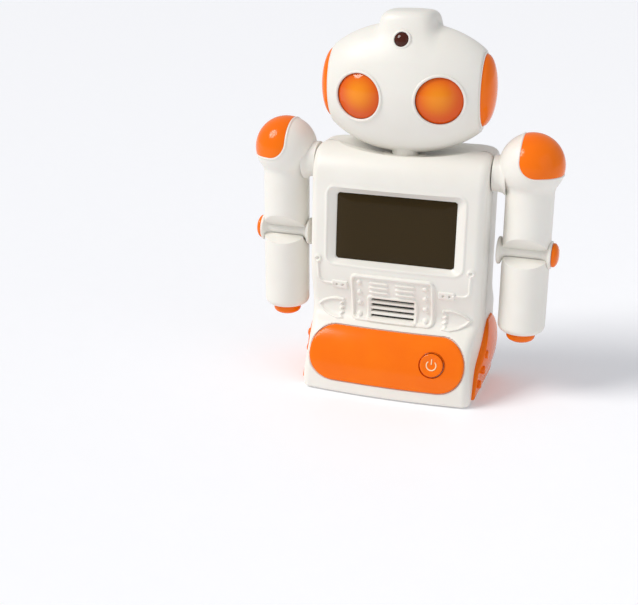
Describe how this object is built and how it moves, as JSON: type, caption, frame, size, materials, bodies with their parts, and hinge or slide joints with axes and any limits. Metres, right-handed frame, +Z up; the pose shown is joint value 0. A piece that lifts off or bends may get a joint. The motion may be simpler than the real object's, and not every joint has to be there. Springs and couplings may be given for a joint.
{
  "type": "tabletop learning robot",
  "caption": "Legless humanoid robot toy with a chest screen, an orange base panel with a power button, a head that turns, and arms that swing and bend.",
  "frame": {"origin": "on the table, under the centre of the part's bounding box", "axes": "+Z up, the robot faces -Y, its left hand is at +X"},
  "size_m": [0.201, 0.0797, 0.242],
  "materials": {
    "shell": "satin warm white moulding",
    "orange": "glossy",
    "amber_lens": "clear tinted, glossy",
    "dark_window": "dark tinted, glossy",
    "screen_lens": "clear over a dark display, glossy",
    "led": "clear tinted",
    "black": "matte",
    "board": "solder-masked laminate",
    "steel": "zinc plated",
    "cell": "printed sleeve",
    "foot_rubber": "matte"
  },
  "bodies": {
    "torso": {"base_panel": "orange", "battery_1": "cell", "battery_2": "cell", "battery_3": "cell", "battery_contact_left": "steel", "battery_contact_right": "steel", "battery_door": "shell", "battery_door_screw": "steel", "foot_front_left": "foot_rubber", "foot_front_right": "foot_rubber", "foot_rear_left": "foot_rubber", "foot_rear_right": "foot_rubber", "front_shell": "shell", "lcd_module": "black", "main_board": "board", "neck_collar": "shell", "power_switch": "black", "rear_shell": "shell", "screen_lens": "screen_lens", "side_cover_left": "orange", "side_cover_right": "orange", "speaker": "black", "switch_board": "board", "torso_screw_1": "steel", "torso_screw_2": "steel", "torso_screw_3": "steel", "torso_screw_4": "steel"},
    "head": {"ear_cap_left": "orange", "ear_cap_right": "orange", "eye_led_left": "led", "eye_led_right": "led", "eye_lens_left": "amber_lens", "eye_lens_right": "amber_lens", "eye_reflector_left": "shell", "eye_reflector_right": "shell", "head_board": "board", "head_front_shell": "shell", "head_rear_shell": "shell", "head_screw_1": "steel", "head_screw_2": "steel", "infrared_receiver": "black", "neck_post": "shell", "receiver_window": "dark_window"},
    "button": {"power_button": "orange"},
    "upper_arm_left": {"upper_arm_left": "shell", "shoulder_cap_left": "orange", "shoulder_hub_left": "shell", "elbow_barrel_left": "shell", "elbow_cap_left": "orange"},
    "forearm_left": {"forearm_left": "shell", "hand_cap_left": "orange"},
    "upper_arm_right": {"upper_arm_right": "shell", "shoulder_cap_right": "orange", "shoulder_hub_right": "shell", "elbow_barrel_right": "shell", "elbow_cap_right": "orange"},
    "forearm_right": {"forearm_right": "shell", "hand_cap_right": "orange"}
  },
  "joints": [
    {"name": "head_turn", "type": "hinge", "parent": "torso", "child": "head", "pos_m": [0, 0.003, 0.1508], "axis": [0, 0, 1], "range_deg": [-75, 75]},
    {"name": "power_press", "type": "slide", "parent": "torso", "child": "button", "axis": [0, 0.9659, -0.2588], "range_m": [0, 0.0012], "stiffness_N_per_m": 400},
    {"name": "shoulder_left", "type": "hinge", "parent": "torso", "child": "upper_arm_left", "pos_m": [0.08, 0.003, 0.145], "axis": [-1, 0, 0], "continuous": true},
    {"name": "elbow_left", "type": "hinge", "parent": "upper_arm_left", "child": "forearm_left", "pos_m": [0.08, 0.003, 0.0958], "axis": [-1, 0, 0], "range_deg": [0, 58]},
    {"name": "shoulder_right", "type": "hinge", "parent": "torso", "child": "upper_arm_right", "pos_m": [-0.08, 0.003, 0.145], "axis": [-1, 0, 0], "continuous": true},
    {"name": "elbow_right", "type": "hinge", "parent": "upper_arm_right", "child": "forearm_right", "pos_m": [-0.08, 0.003, 0.0958], "axis": [-1, 0, 0], "range_deg": [0, 58]}
  ]
}
